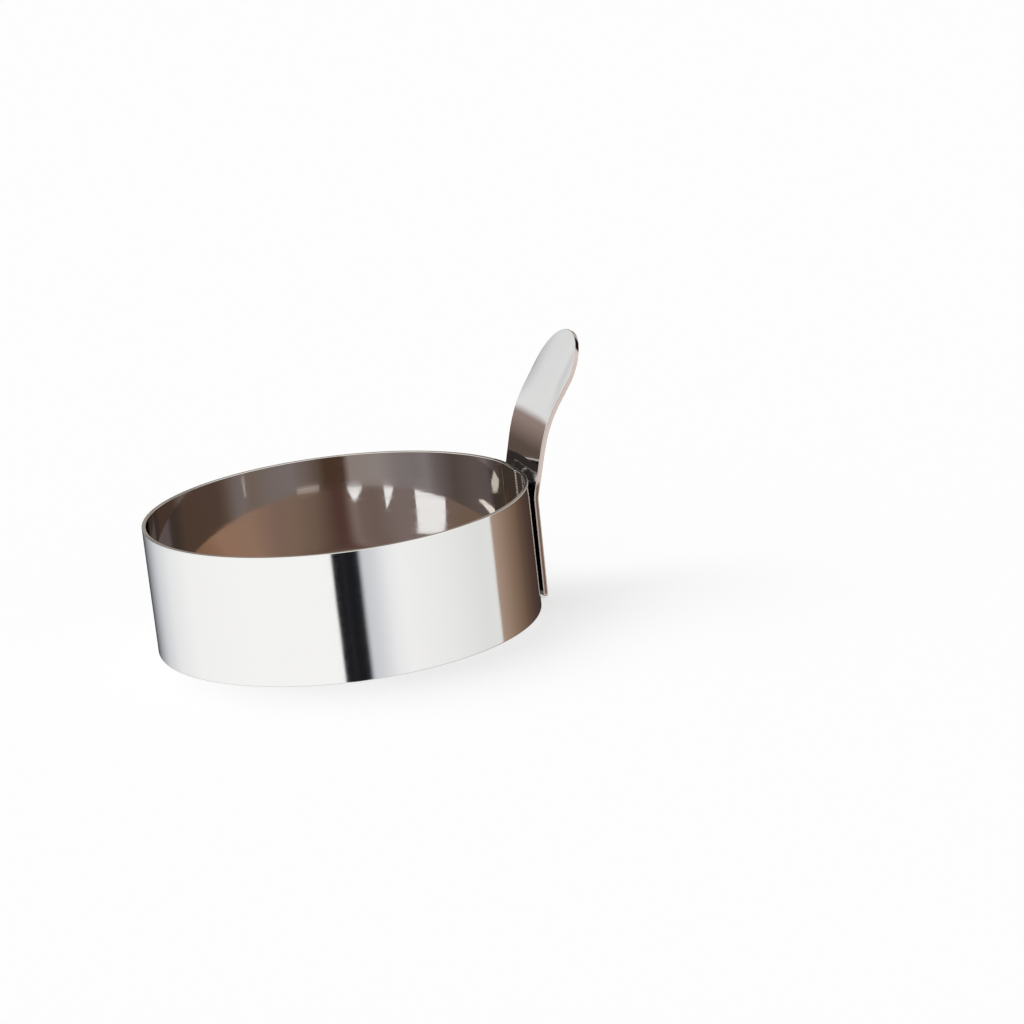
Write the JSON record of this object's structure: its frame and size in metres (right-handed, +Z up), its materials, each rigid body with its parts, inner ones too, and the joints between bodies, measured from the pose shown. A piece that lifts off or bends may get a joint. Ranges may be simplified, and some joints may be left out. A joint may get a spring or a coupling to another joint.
{
  "type": "egg ring",
  "caption": "Round egg ring rolled from polished steel strip, butt welded behind a bent tab handle with a full round end.",
  "frame": {"origin": "middle of the underside of the box that holds the whole ring and its handle; the ring stands on z = 0 and its own axis is 7.2 mm towards -X", "axes": "+X from the ring towards its handle, +Z up along the ring's axis"},
  "size_m": [0.0893, 0.075, 0.0502],
  "materials": {
    "polished_steel": "polished",
    "dressed_weld": "satin"
  },
  "bodies": {
    "root": {"ring_band": "polished_steel", "tab_handle": "polished_steel", "seam_weld": "dressed_weld", "spot_weld_lower": "dressed_weld", "spot_weld_upper": "dressed_weld"}
  },
  "joints": []
}
